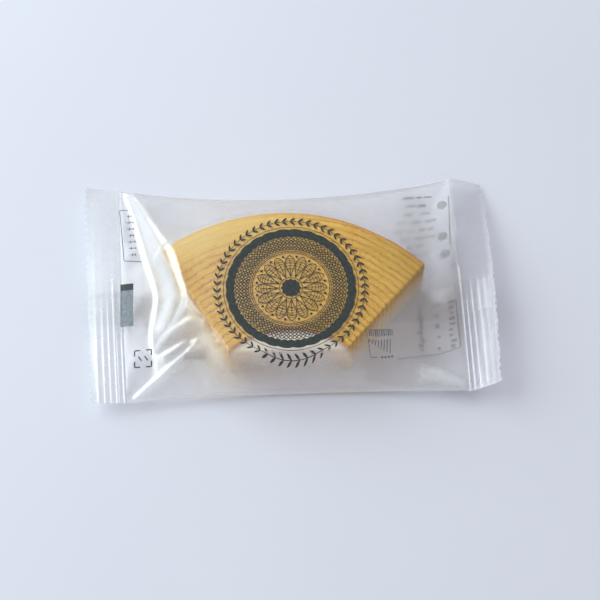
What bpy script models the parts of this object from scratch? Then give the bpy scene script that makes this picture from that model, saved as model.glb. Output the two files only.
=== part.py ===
"""A slice of baumkuchen sealed in a flow-wrapped pillow pack of frosted film.

The pack is one closed solid. Between two crimped end seals with saw-cut teeth, its upper film
is drawn taut from the top edges of the slice down to the rim of the pack, and is pinched into
a few folds, most of them on the left. Its lower film lies flat under the slice and rises to the
same rim.
"""

import math

import bmesh
import bpy
import numpy as np
from mathutils import Vector
from mathutils.bvhtree import BVHTree
from mathutils.geometry import delaunay_2d_cdt

MM = 0.001

# The slice. Baked in rings round a roller, it is cut from them by two straight cuts.
# Angles are in degrees from +X, at the right cut and at the left cut.
OUTER_CENTRE = (-3.645 * MM, -51.9 * MM)
OUTER_RADIUS = 76.0 * MM
OUTER_ANGLES = (43.2, 126.3)
INNER_CENTRE = (-1.145 * MM, -60.4 * MM)
INNER_RADIUS = 34.8 * MM
INNER_ANGLES = (51.0, 128.5)
SLICE_TOP = 23.4 * MM               # the slice is 23 mm thick, under one film and over another

# The two end seals, each at the front, middle and back of the pack: x of the seal's inner
# line, the height of the pack's rim there, and how far the seal's cut end then curls up from
# that height, or down where it is negative. Taper is the share of its width that a seal loses
# towards its cut end.
LEFT_SEAL = {
    "line": (-62.35 * MM, -64.25 * MM, -65.65 * MM),
    "rim": (4.5 * MM, 6.0 * MM, 4.5 * MM),
    "curl": (1.5 * MM, -1.0 * MM, 3.0 * MM),
    "taper": 0.0,
}
RIGHT_SEAL = {
    "line": (66.45 * MM, 65.35 * MM, 64.35 * MM),
    "rim": (5.5 * MM, 8.0 * MM, 6.0 * MM),
    "curl": (7.0 * MM, 2.5 * MM, -4.5 * MM),
    "taper": 0.03,
}
SEAL_LENGTH = 13.8 * MM
CURL_POWER = 1.4                    # 1 tilts a seal straight, more leaves the curl to its end

# The two long edges, which the slice draws in and lets down between the seals.
FRONT_END = -45.0 * MM
BACK_END = 45.0 * MM
FRONT_DRAWN_IN = 2.6 * MM
BACK_DRAWN_IN = 6.4 * MM
DRAWN_IN_POWER = 0.75
FRONT_DIP = 3.0 * MM
BACK_DIP = 1.5 * MM

# Film thicknesses are those of the folded edges, which hold air, not of the bare film.
FILM_PAIR = 0.8 * MM
EDGE_FOLD_RADIUS = 1.8 * MM

# The crimp: ridges across each seal, and the teeth of its cut end.
CRIMP_PITCH = 2.5 * MM
CRIMP_HEIGHT = 0.35 * MM
CRIMP_RIDGES = 5
SEAL_STEPS = 2 * CRIMP_RIDGES + 1   # a step for each crest and each valley, and one at the cut end
TEETH = 30
TOOTH_DEPTH = 1.0 * MM

# Folds pinched into the taut film. Each is a narrow flat facet below its crest, on the right of
# the way that the crest runs. Points of a crest are x, y, z and the facet's width there, in mm.
FACET_SLOPE = (0.44, 0.047)         # rise along X and along Y, alike for all the facets
SEAL_FOLD = (
    (-62.4, 42.7, 4.9, 1.5), (-60.2, 36.8, 5.5, 2.0), (-57.1, 26.0, 6.3, 2.0),
    (-54.3, 14.3, 7.1, 2.4), (-50.9, 3.6, 7.8, 2.3), (-49.8, -4.1, 7.8, 1.9),
    (-50.6, -10.5, 7.5, 2.3), (-52.3, -17.2, 7.3, 1.4), (-52.4, -22.0, 7.1, 1.1),
    (-51.4, -26.7, 7.0, 1.2),
)
CORNER_FOLD = (
    (-60.0, 41.7, 7.0, 2.0), (-55.7, 34.3, 11.6, 2.3), (-51.5, 24.2, 17.0, 2.3),
    (-46.8, 14.3, 22.0, 2.4), (-44.0, 10.7, 23.9, 2.8), (-41.4, 4.2, 24.6, 3.2),
    (-40.2, -1.3, 24.4, 3.0), (-38.2, -7.6, 23.8, 2.6), (-37.6, -13.7, 22.4, 3.6),
    (-38.2, -17.4, 20.4, 4.4),
)
BRANCH_FOLD = (
    (-51.6, -25.5, 7.8, 1.4), (-49.3, -21.4, 11.2, 2.2), (-44.9, -18.6, 14.9, 2.6),
    (-41.6, -17.6, 17.5, 2.6), (-38.2, -17.4, 20.4, 2.2), (-36.2, -18.6, 20.9, 1.0),
    (-33.4, -19.9, 21.0, 0.8),
)
SHORT_FOLD = (
    (-51.0, -27.1, 7.1, 1.1), (-45.9, -24.9, 9.4, 2.2), (-39.5, -22.7, 12.4, 2.2),
    (-34.5, -22.2, 14.8, 1.2),
)
LONG_FOLD = (
    (-60.4, -42.3, 3.9, 1.0), (-52.6, -36.2, 5.4, 1.2), (-43.0, -28.5, 8.4, 1.4),
    (-39.8, -25.7, 10.0, 1.4), (-37.2, -23.5, 12.0, 1.3), (-35.4, -22.9, 13.4, 0.8),
)
RIGHT_FOLD = ((49.9, -38.6, 8.8, 1.2), (57.2, -41.0, 7.6, 1.8), (65.6, -44.0, 6.2, 1.4))
FOLDS = (SEAL_FOLD, CORNER_FOLD, BRANCH_FOLD, SHORT_FOLD, LONG_FOLD, RIGHT_FOLD)

# Knots are the points between which the film is taut, along its rim, its folds and the slice's
# top edges. A grid of them keeps it flat on the slice, clear of the fold that crosses there.
RIM_KNOTS = 60
KNOT_GAP = 1.0 * MM
FLAT_PITCH = 4.0 * MM
FLAT_CLEAR = 3.4 * MM

# Stations between the seals lie closest where the folds are: share of the length, and how many.
BODY_STATIONS = ((0.0, 0), (0.26, 32), (0.85, 24), (1.0, 10))
EASINGS = 2                         # passes that ease the free film over its neighbours
ARC_STEPS = 24
SHARP_ANGLE = math.radians(40)


def clear_scene():
    for obj in list(bpy.data.objects):
        bpy.data.objects.remove(obj, do_unlink=True)


def arc(centre, radius, angles):
    """Points of an arc from the right cut to the left cut."""
    turns = np.radians(np.linspace(*angles, ARC_STEPS))
    return np.stack([centre[0] + radius * np.cos(turns), centre[1] + radius * np.sin(turns)], 1)


def slice_outline():
    """The outline that holds the film up, closed: the outer arc and the two inner corners."""
    outer = arc(OUTER_CENTRE, OUTER_RADIUS, OUTER_ANGLES)
    inner = arc(INNER_CENTRE, INNER_RADIUS, INNER_ANGLES)
    return np.concatenate([outer, inner[[-1, 0]], outer[:1]])


def distance_to_path(points, path):
    """How far each point lies from a path of straight runs."""
    start = path[:-1]
    run = path[1:] - start
    offset = points[:, None] - start
    share = np.clip((offset * run).sum(2) / (run * run).sum(1), 0, 1)
    return np.linalg.norm(offset - share[..., None] * run, axis=2).min(1)


def distance_outside(points, outline):
    """How far each point lies outside a convex outline that runs anticlockwise, and 0 inside."""
    run = np.diff(outline, axis=0)
    offset = points[:, None] - outline[:-1]
    left_of_run = run[:, 0] * offset[..., 1] - run[:, 1] * offset[..., 0] >= 0
    return np.where(left_of_run.all(1), 0, distance_to_path(points, outline))


def rounded(path):
    """A path with its corners cut twice, so that it bends smoothly."""
    path = np.array(path)
    for _ in range(2):
        cuts = [path[:-1] * 0.75 + path[1:] * 0.25, path[:-1] * 0.25 + path[1:] * 0.75]
        cuts = np.stack(cuts, 1).reshape(-1, path.shape[1])
        path = np.vstack([path[:1], cuts, path[-1:]])
    return path


def spaced(path, gap):
    """Points about gap apart along a path of straight runs."""
    runs = np.linalg.norm(np.diff(path[:, :2], axis=0), axis=1)
    reach = np.concatenate([[0], np.cumsum(runs)])
    steps = np.linspace(0, reach[-1], round(reach[-1] / gap) + 1)
    return np.stack([np.interp(steps, reach, values) for values in path.T], 1)


def crest_and_foot(fold):
    """The two borders of a fold's facet."""
    crest = spaced(rounded(fold) * MM, KNOT_GAP)
    ahead = np.gradient(crest[:, :2], axis=0)
    ahead /= np.linalg.norm(ahead, axis=1)[:, None]
    aside = np.stack([ahead[:, 1], -ahead[:, 0]], 1) * crest[:, 3:]
    return crest[:, :3], crest[:, :3] + np.column_stack([aside, aside @ FACET_SLOPE])


def through_three(values, across):
    """A smooth curve through values at the front, middle and back, across from -1 to 1."""
    front, middle, back = values
    return middle + (back - front) / 2 * across + ((front + back) / 2 - middle) * across**2


def rim_height(share, across):
    """Height of the rim, spread over the whole plan. share runs from the left seal to the right."""
    left = through_three(LEFT_SEAL["rim"], across)
    right = through_three(RIGHT_SEAL["rim"], across)
    dip = FRONT_DIP + (BACK_DIP - FRONT_DIP) * (across + 1) / 2
    return left + (right - left) * share - dip * np.sin(math.pi * share)


def edge_y(share, across):
    """y of a point between the front and the back edge, which are drawn in between the seals."""
    drawn_in = np.sin(math.pi * share) ** DRAWN_IN_POWER
    front = FRONT_END + FRONT_DRAWN_IN * drawn_in
    back = BACK_END - BACK_DRAWN_IN * drawn_in
    return front + (back - front) * (across + 1) / 2


def body_plan(share, across):
    """Points in plan between the seals."""
    left = through_three(LEFT_SEAL["line"], across)
    right = through_three(RIGHT_SEAL["line"], across)
    return np.stack([left + (right - left) * share, edge_y(share, across)], 1)


def taut_film(outline):
    """The facets of the taut film, from knot to knot."""
    along = np.linspace(0, 1, RIM_KNOTS)
    over = np.linspace(-1, 1, RIM_KNOTS)
    rim = [(along, np.full(RIM_KNOTS, side)) for side in (-1.0, 1.0)]
    rim += [(np.full(RIM_KNOTS, end), over) for end in (0.0, 1.0)]
    knots = [np.column_stack([body_plan(*place), rim_height(*place)]) for place in rim]
    knots += [border for fold in FOLDS for border in crest_and_foot(fold)]

    steps = np.arange(outline.min(), outline.max(), FLAT_PITCH)
    flat = np.stack(np.meshgrid(steps, steps), -1).reshape(-1, 2)
    flat = flat[distance_outside(flat, outline) == 0]
    flat = flat[distance_to_path(flat, rounded(CORNER_FOLD)[:, :2] * MM) > FLAT_CLEAR]
    flat = np.concatenate([flat, spaced(outline, KNOT_GAP)])
    knots = np.concatenate(knots + [np.column_stack([flat, np.full(len(flat), SLICE_TOP)])])
    on_slice = distance_outside(knots[:, :2], outline) == 0
    knots[on_slice, 2] = np.maximum(knots[on_slice, 2], SLICE_TOP)

    in_plan = [Vector(knot[:2]) for knot in knots]
    kept, _, faces, knots_of = delaunay_2d_cdt(in_plan, [], [], 0, 1e-5)[:4]
    corners = [Vector((*place, knots[found[0], 2])) for place, found in zip(kept, knots_of)]
    return BVHTree.FromPolygons(corners, faces)


def heights_on(facets, plan, off_edge):
    """Height of the facets over each point, or the height off_edge where there is none."""
    heights = np.array(off_edge)
    for index, place in enumerate(plan):
        hit = facets.ray_cast(Vector((*place, 2 * SLICE_TOP)), Vector((0, 0, -1)))[0]
        if hit:
            heights[index] = hit.z
    return heights


def body_station(share, across, outline, facets):
    """Points of the upper and of the lower film at one station between the seals."""
    plan = body_plan(share, across)
    from_slice = distance_outside(plan, outline)
    half_width = (plan[-1, 1] - plan[0, 1]) / 2
    length = RIGHT_SEAL["line"][1] - LEFT_SEAL["line"][1]
    from_rim = np.minimum((1 - np.abs(across)) * half_width, min(share, 1 - share) * length)
    fall = from_slice / np.maximum(from_slice + from_rim, 1e-9)

    rim = rim_height(share, across)
    fold_radius = EDGE_FOLD_RADIUS * math.sqrt(max(math.sin(math.pi * share), 0))
    rounding = np.clip(from_rim / max(fold_radius, 1e-9), 0, 1)
    bulge = FILM_PAIR / 2 + fold_radius * np.sqrt(1 - (1 - rounding) ** 2)
    taut = heights_on(facets, plan, rim)
    free = np.clip((SLICE_TOP - taut) / (SLICE_TOP - rim), 0, 1)
    upper = taut + bulge * free
    lower = np.maximum(rim - bulge, 0) * fall**2
    upper = np.maximum(upper, lower + FILM_PAIR)
    return np.column_stack([plan, upper]), np.column_stack([plan, lower])


def seal_station(seal, outwards, step, across):
    """Points of both films at one step out along a seal. outwards is -1 or 1, along X."""
    at_cut_end = step == SEAL_STEPS
    out = SEAL_LENGTH if at_cut_end else step * CRIMP_PITCH / 2
    rise = through_three(seal["curl"], across) * (out / SEAL_LENGTH) ** CURL_POWER
    crimp = 0 if at_cut_end else CRIMP_HEIGHT * (-1) ** step
    x = through_three(seal["line"], across) + outwards * np.sqrt(out**2 - rise**2)
    y = edge_y(0, across) * (1 - seal["taper"] * out / SEAL_LENGTH)
    z = through_three(seal["rim"], across) + rise + crimp
    upper = np.column_stack([x, y, z + FILM_PAIR / 2])
    lower = np.column_stack([x, y, z - FILM_PAIR / 2])
    return upper, lower


def eased(stations, outline):
    """Stations whose upper film is eased over its neighbours, off the slice and off the rim."""
    upper = np.array([upper for upper, _ in stations])
    heights = upper[..., 2]
    plan = upper[1:-1, 1:-1, :2]
    is_free = distance_outside(plan.reshape(-1, 2), outline).reshape(plan.shape[:2]) > 0
    for _ in range(EASINGS):
        around = heights[:-2, 1:-1] + heights[2:, 1:-1] + heights[1:-1, :-2] + heights[1:-1, 2:]
        middle = heights[1:-1, 1:-1]
        heights[1:-1, 1:-1] = np.where(is_free, middle / 2 + around / 8, middle)
    return [(over, under) for over, (_, under) in zip(upper, stations)]


def film_stations():
    """Both films at every station, from the cut end of the left seal to that of the right."""
    across = np.linspace(-1, 1, TEETH + 1)
    outline = slice_outline()
    facets = taut_film(outline)
    steps = range(1, SEAL_STEPS + 1)
    shares = [0.0]
    for (start, _), (end, count) in zip(BODY_STATIONS, BODY_STATIONS[1:]):
        shares += list(np.linspace(start, end, count + 1)[1:])
    stations = [seal_station(LEFT_SEAL, -1, step, across) for step in reversed(steps)]
    stations += eased([body_station(share, across, outline, facets) for share in shares], outline)
    stations += [seal_station(RIGHT_SEAL, 1, step, across) for step in steps]
    return stations


def frosted_film():
    material = bpy.data.materials.new("frosted_film")
    material.use_nodes = True
    shader = material.node_tree.nodes["Principled BSDF"]
    shader.inputs["Base Color"].default_value = (0.78, 0.75, 0.68, 1)
    shader.inputs["Roughness"].default_value = 0.3
    shader.inputs["Metallic"].default_value = 0
    return material


def slab_of_squares(columns, rows):
    """A slab from -1 to 1 in X and Y, with a tooth's root between the rows at both cut ends."""
    slab = bmesh.new()
    bmesh.ops.create_grid(slab, x_segments=columns, y_segments=rows, size=1)
    is_end = {point: abs(point.co.x) > 1 - 1 / columns for point in slab.verts}
    cut_ends = [edge for edge in slab.edges if all(is_end[point] for point in edge.verts)]
    bmesh.ops.subdivide_edges(slab, edges=cut_ends, cuts=1)
    lower = list(slab.verts)
    extruded = bmesh.ops.extrude_face_region(slab, geom=slab.faces[:], use_keep_orig=True)
    upper = [part for part in extruded["geom"] if isinstance(part, bmesh.types.BMVert)]
    return slab, upper, lower


def build_pack():
    """Every point of the slab goes to its place on the upper or the lower film."""
    stations = film_stations()
    columns = len(stations) - 1
    slab, upper, lower = slab_of_squares(columns, TEETH)
    for film, points in ((0, upper), (1, lower)):
        for point in points:
            column = round((point.co.x + 1) / 2 * columns)
            half_row = round((point.co.y + 1) * TEETH)
            place = stations[column][film][half_row // 2]
            if half_row % 2:
                place = (place + stations[column][film][half_row // 2 + 1]) / 2
                place[0] -= math.copysign(TOOTH_DEPTH, point.co.x)
            point.co = place
    bmesh.ops.triangulate(slab, faces=slab.faces, quad_method="SHORT_EDGE")
    bmesh.ops.recalc_face_normals(slab, faces=slab.faces)
    points = np.array([point.co for point in slab.verts])
    middle = (points.min(0) + points.max(0)) / 2
    bmesh.ops.translate(slab, verts=slab.verts, vec=(-middle[0], -middle[1], 0))

    mesh = bpy.data.meshes.new("pack")
    slab.to_mesh(mesh)
    slab.free()
    mesh.materials.append(frosted_film())
    mesh.shade_smooth()
    mesh.set_sharp_from_angle(angle=SHARP_ANGLE)
    bpy.context.scene.collection.objects.link(bpy.data.objects.new("pack", mesh))


clear_scene()
build_pack()
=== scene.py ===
"""A slice of baumkuchen in its sealed pack: the cake, the frosted film and the ink on the film."""

import math

import bpy
import numpy as np
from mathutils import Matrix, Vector, noise
from mathutils.bvhtree import BVHTree
from mathutils.geometry import delaunay_2d_cdt


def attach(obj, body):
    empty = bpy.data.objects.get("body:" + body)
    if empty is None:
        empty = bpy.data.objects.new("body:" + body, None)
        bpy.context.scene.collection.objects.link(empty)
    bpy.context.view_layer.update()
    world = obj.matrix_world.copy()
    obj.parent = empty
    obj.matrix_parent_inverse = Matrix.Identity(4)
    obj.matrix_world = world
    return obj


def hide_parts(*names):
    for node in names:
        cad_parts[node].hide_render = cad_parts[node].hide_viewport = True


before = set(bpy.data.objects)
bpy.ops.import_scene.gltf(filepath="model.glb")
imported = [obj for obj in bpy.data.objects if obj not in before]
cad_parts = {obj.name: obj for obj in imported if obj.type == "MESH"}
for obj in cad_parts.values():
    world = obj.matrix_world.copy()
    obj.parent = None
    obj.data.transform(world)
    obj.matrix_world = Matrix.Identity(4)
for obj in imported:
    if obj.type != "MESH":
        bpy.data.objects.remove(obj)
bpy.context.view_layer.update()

MM = 0.001


# The set. A smooth white table top with a cool cast, lit by one large soft lamp from the left
# and slightly behind, with an even glow from the room, and seen steeply from the front.
TABLE_SIZE = 2.4
TABLE_COLOUR = (0.80, 0.835, 0.90, 1)
TABLE_COLOUR_DEEP = (0.785, 0.82, 0.887, 1)
ROOM_COLOUR = (1.0, 0.955, 0.99, 1)
ROOM_GLOW = 0.465
LAMP_COLOUR = (0.85, 0.94, 1.0)
LAMP_WATTS, LAMP_DISTANCE = 15.0, 1.2
LAMP_WIDTH, LAMP_HEIGHT = 1.4, 1.1
LAMP_DIRECTION = (-0.71, 0.35, 0.61)

CAMERA_AIM = (3.96 * MM, -6.4 * MM, 8.0 * MM)
CAMERA_DISTANCE = 726 * MM
CAMERA_PITCH = math.radians(24)      # from straight down
CAMERA_TURN = math.radians(-2)
CAMERA_LENS, CAMERA_SENSOR = 114, 36         # mm


class Flow:
    """A socket in a material. Arithmetic adds Math nodes, node() adds any other node."""

    def __init__(self, tree, socket=None):
        self.tree = tree
        self.socket = socket

    def node(self, kind, settings=None, sockets=None, output=0):
        made = self.tree.nodes.new("ShaderNode" + kind)
        for name, value in (settings or {}).items():
            setattr(made, name, value)
        for name, value in (sockets or {}).items():
            if isinstance(value, Flow):
                self.tree.links.new(value.socket, made.inputs[name])
            else:
                made.inputs[name].default_value = value
        return Flow(self.tree, made.outputs[output])

    def math(self, operation, *values):
        return self.node("Math", {"operation": operation}, dict(enumerate(values)))

    def __add__(self, other):
        return self.math("ADD", self, other)

    def __radd__(self, other):
        return self.math("ADD", other, self)

    def __sub__(self, other):
        return self.math("SUBTRACT", self, other)

    def __rsub__(self, other):
        return self.math("SUBTRACT", other, self)

    def __mul__(self, other):
        return self.math("MULTIPLY", self, other)

    def place(self):
        """Where a point lies on its piece, in metres."""
        return self.node("TexCoord", output=3)

    def kept(self, name):
        """The number that the mesh keeps at its points under a name."""
        return self.node("Attribute", {"attribute_name": name}, output=2)

    def noise(self, scale, detail=2.0, roughness=0.5):
        """Noise about 0.5, with features about 1/scale metres apart."""
        sockets = {"Vector": self.place(), "Scale": scale, "Detail": detail, "Roughness": roughness}
        return self.node("TexNoise", None, sockets)

    def between(self, low, high):
        """0 up to low, 1 from high, and smooth between them."""
        settings = {"interpolation_type": "SMOOTHSTEP", "clamp": True}
        return self.node("MapRange", settings, {"Value": self, "From Min": low, "From Max": high})

    def mix(self, none, full):
        """The colour none where this value is 0, and the colour full where it is 1."""
        sockets = {0: self, 6: none, 7: full}
        return self.node("Mix", {"data_type": "RGBA"}, sockets, output=2)


def new_material(name, **constants):
    """A material, its nodes as a Flow, and its surface shader with constant settings."""
    material = bpy.data.materials.new(name)
    material.use_nodes = True
    shader = material.node_tree.nodes["Principled BSDF"]
    for socket, value in constants.items():
        shader.inputs[socket.replace("_", " ")].default_value = value
    return material, Flow(material.node_tree), shader


def wear(piece, material):
    piece.data.materials.clear()
    piece.data.materials.append(material)


def deselect():
    bpy.ops.object.select_all(action="DESELECT")


def linked(flow, value, shader, socket):
    flow.tree.links.new(value.socket, shader.inputs[socket])


def applied(piece, kind, **settings):
    """Gives the active piece a modifier and applies it."""
    modifier = piece.modifiers.new(kind, kind)
    for name, value in settings.items():
        setattr(modifier, name, value)
    bpy.ops.object.modifier_apply(modifier=modifier.name)


deselect()
bpy.ops.mesh.primitive_plane_add(size=TABLE_SIZE)
table = bpy.context.object
table.name = "table_top"
material, flow, shader = new_material("table_paint", Roughness=0.85, Specular_IOR_Level=0.2)
mottle = flow.noise(9.0, 3.0).between(0.3, 0.7)
linked(flow, mottle.mix(TABLE_COLOUR, TABLE_COLOUR_DEEP), shader, "Base Color")
wear(table, material)

room = bpy.data.worlds.new("room")
bpy.context.scene.world = room
room.use_nodes = True
glow = room.node_tree.nodes["Background"]
glow.inputs["Color"].default_value = ROOM_COLOUR
glow.inputs["Strength"].default_value = ROOM_GLOW

lamp_way = Vector(LAMP_DIRECTION).normalized()
deselect()
bpy.ops.object.light_add(
    type="AREA", location=lamp_way * LAMP_DISTANCE,
    rotation=lamp_way.to_track_quat("Z", "Y").to_euler())
lamp = bpy.context.object
lamp.name = "soft_lamp"
lamp.data.shape = "RECTANGLE"
lamp.data.size = LAMP_WIDTH
lamp.data.size_y = LAMP_HEIGHT
lamp.data.energy = LAMP_WATTS
lamp.data.color = LAMP_COLOUR

back, up = math.sin(CAMERA_PITCH), math.cos(CAMERA_PITCH)
camera_way = Vector((back * math.sin(CAMERA_TURN), -back * math.cos(CAMERA_TURN), up))
deselect()
bpy.ops.object.camera_add(
    location=Vector(CAMERA_AIM) + camera_way * CAMERA_DISTANCE,
    rotation=(CAMERA_PITCH, 0, CAMERA_TURN),
)
camera = bpy.context.object
camera.data.lens = CAMERA_LENS
camera.data.sensor_width = CAMERA_SENSOR
camera.data.clip_start = 0.01
bpy.context.scene.camera = camera
bpy.context.scene.view_settings.view_transform = "Standard"


# The slice. Thin coats of batter baked one over another round a turning roller make a ring of
# eighteen layers, each with a toasted skin. Two straight cuts take this piece from it.
OUTER_CENTRE = (-3.645 * MM, -51.9 * MM)
OUTER_RADIUS = 75.6 * MM
OUTER_ANGLES = (126.1, 43.4)         # left cut and right cut, in degrees from +X
INNER_CENTRE = (-1.145 * MM, -60.4 * MM)
INNER_RADIUS = 35.2 * MM
INNER_ANGLES = (128.3, 51.2)
SLICE_UNDERSIDE = 0.40 * MM
SLICE_TOP = 23.05 * MM
STEPS_ALONG, STEPS_OUT, STEPS_DOWN = 150, 66, 30
LAYERS = 18.0
EDGE_ROUNDING = 3                    # passes of smoothing over the cut edges
CRUMB_SWELL = ((9.0, 0.35), (2.2, 0.14), (0.9, 0.07))      # grain and depth in mm
LAYER_RIPPLE, FLATTENED = 0.07 * MM, 0.1 * MM

CRUMB_PALE = (0.91, 0.58, 0.09, 1)
CRUMB_DEEP = (0.77, 0.42, 0.03, 1)
SKIN = (0.36, 0.125, 0.010, 1)
HALO = (0.66, 0.30, 0.03, 1)
CRUST = (0.62, 0.23, 0.02, 1)
TOASTED = (0.50, 0.25, 0.055, 1)
PORE = (0.52, 0.31, 0.08, 1)
# The next two colours are painted: shade at the slice's right end and light at its outer left.
PAINTED_SHADE_AMBER = (0.46, 0.275, 0.010, 1)
PAINTED_LIGHT_LEMON = (0.99, 0.72, 0.20, 1)


def on_arc(centre, radius, angles, share):
    turn = np.radians(angles[0] + (angles[1] - angles[0]) * share)
    return np.stack([centre[0] + radius * np.cos(turn), centre[1] + radius * np.sin(turn)], -1)


def get_points(mesh, kind="co"):
    points = np.empty(len(mesh.vertices) * 3)
    mesh.vertices.foreach_get(kind, points)
    return points.reshape(-1, 3)


def set_points(mesh, points):
    mesh.vertices.foreach_set("co", np.ascontiguousarray(points).ravel())
    mesh.update()


def keep(mesh, **kept):
    """Keeps numbers at the mesh's points, each kind under its name, for Flow.kept()."""
    for name, values in kept.items():
        mesh.attributes.new(name, "FLOAT", "POINT").data.foreach_set("value", values)


def grained(points, grain, depth):
    """Perlin noise at points, with features about grain apart, between -depth and depth."""
    return depth * np.array([noise.noise(Vector(p) / grain) for p in points])


deselect()
bpy.ops.mesh.primitive_grid_add(x_subdivisions=STEPS_ALONG, y_subdivisions=STEPS_OUT, size=2)
cake = bpy.context.object
cake.name = "cake_slice"
grid = get_points(cake.data)
along, out = (grid[:, 0] + 1) / 2, (grid[:, 1] + 1) / 2
inner = on_arc(INNER_CENTRE, INNER_RADIUS, INNER_ANGLES, along)
outer = on_arc(OUTER_CENTRE, OUTER_RADIUS, OUTER_ANGLES, along)
plan = inner + (outer - inner) * out[:, None]
set_points(cake.data, np.column_stack([plan, np.full(len(plan), SLICE_TOP)]))
keep(cake.data, layer=out, along=along)

bpy.ops.object.mode_set(mode="EDIT")
bpy.ops.mesh.select_all(action="SELECT")
drop = (SLICE_UNDERSIDE - SLICE_TOP) / STEPS_DOWN
for step in range(STEPS_DOWN):
    bpy.ops.mesh.extrude_region_move(TRANSFORM_OT_translate={"value": (0, 0, drop)})
bpy.ops.mesh.select_all(action="SELECT")
bpy.ops.mesh.normals_make_consistent(inside=False)
bpy.ops.mesh.vertices_smooth(factor=0.5, repeat=EDGE_ROUNDING)
bpy.ops.object.mode_set(mode="OBJECT")

# The crumb gives a little, and each layer stands out or in by a hair on the cut faces.
points = get_points(cake.data)
normals = get_points(cake.data, "normal")
layer = np.empty(len(points))
cake.data.attributes["layer"].data.foreach_get("value", layer)
upright = np.abs(normals[:, 2])
swell = sum(grained(points, grain * MM, depth * MM) for grain, depth in CRUMB_SWELL)
ripple = LAYER_RIPPLE * np.cos(2 * math.pi * layer * LAYERS)
swell = swell * (1 - 0.75 * upright) - FLATTENED * upright + ripple
set_points(cake.data, points + normals * swell[:, None])
bpy.ops.object.shade_smooth()

material, flow, shader = new_material("baked_layers", Roughness=0.78, Specular_IOR_Level=0.25)
layer, along = flow.kept("layer"), flow.kept("along")
# Each layer ends in a toasted skin: a thin brown line, broken here and there, in a soft halo. The
# outermost layers on the left show hardly any.
drift = flow.noise(45.0, 2.0) * 1.3 + flow.noise(260.0, 3.0) * 0.6
drift = drift + flow.noise(1000.0, 2.0) * 0.6
turn = layer * LAYERS + drift
phase = turn.math("FRACT", turn)
from_skin = (phase - 0.5).math("ABSOLUTE", phase - 0.5) * 2
skin_line = 1 - from_skin.between(0.0, 0.34)
halo = 1 - from_skin.between(0.10, 0.90)
broken = flow.noise(520.0, 4.0, 0.7).between(0.38, 0.60)
patchy = flow.noise(70.0, 2.0).between(0.30, 0.62)
to_left = 1 - along.between(0.25, 0.75)
plain_rind = 1 - (layer + flow.noise(60.0) * 0.06).between(0.80, 0.87) * to_left * 0.75
skin_line = skin_line * (0.40 + broken * 0.60) * (0.65 + patchy * 0.35) * plain_rind
# The crumb is stringy along the layers, and full of fine holes.
turned = flow.noise(900.0, 4.0, 0.7)
depth = flow.node("SeparateXYZ", None, {0: flow.place()}, output=2)
strand = flow.node("CombineXYZ", None, {0: layer * 75, 1: along * 13, 2: depth * 250})
fibres = flow.node("TexNoise", None, {"Vector": strand, "Scale": 1.0, "Detail": 3.0})
grown = turned * 0.45 + fibres * 0.55
crumb = grown.between(0.41, 0.60).mix(CRUMB_DEEP, CRUMB_PALE)
holes = flow.node("TexVoronoi", {"feature": "F1"}, {"Vector": flow.place(), "Scale": 1100.0})
open_crumb = 1 - holes.between(0.10, 0.42)
open_crumb = open_crumb * flow.noise(300.0, 2.0).between(0.42, 0.66)
colour = (open_crumb * 0.55).mix(crumb, PORE)
colour = (halo * plain_rind * (0.25 + patchy * 0.35)).mix(colour, HALO)
colour = (skin_line * 0.95).mix(colour, SKIN)
# The inner layers are scorched in places, and the first and the last skin are a brown crust. The
# right end is darker and amber, which is painted shade, and the outer left layers paler yellow, which
# is painted light.
scorch = flow.noise(150.0, 3.0, 0.6).between(0.60, 0.74) * (1 - layer.between(0.25, 0.80))
colour = (scorch * 0.55).mix(colour, TOASTED)
edge = layer + (flow.noise(350.0, 3.0) - 0.5) * 0.012
rind = edge.between(0.965, 0.995) * (1 - to_left * 0.6)
core = 1 - edge.between(0.012, 0.035)
# Painted shade: the right end of the slice is darkened towards amber.
to_right = along.between(0.62, 1.0)
colour = (to_right * (0.14 + layer.between(0.55, 1.0) * 0.40)).mix(colour, PAINTED_SHADE_AMBER)
# Painted light: the outer left layers are lightened towards a pale yellow.
outer_left = (1 - along.between(0.05, 0.75)) * layer.between(0.68, 0.98)
colour = (outer_left * 0.70).mix(colour, PAINTED_LIGHT_LEMON)
colour = (rind * 0.80).mix(colour, CRUST)
colour = (core * 0.75).mix(colour, CRUST)
linked(flow, colour, shader, "Base Color")
height = turned * 0.5 - open_crumb * 0.8 - skin_line * 0.25 + flow.noise(2600.0, 2.0) * 0.25
bump = flow.node("Bump", None, {"Height": height, "Strength": 0.55, "Distance": 0.35 * MM})
linked(flow, bump, shader, "Normal")
wear(cake, material)
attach(cake, "root")


# The film. One sheet of frosted film wraps the slice: its long edges meet in a fin seal folded
# flat under the pack, and the two ends are crimped between ribbed jaws and cut with a toothed
# blade. Between the seals it is drawn taut over the slice, with a few pinched folds.
FILM = 0.04 * MM
FILM_TOP = 23.35 * MM
FILM_UNDERSIDE = 0.28 * MM           # room for the fin seal under the pack
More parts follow.
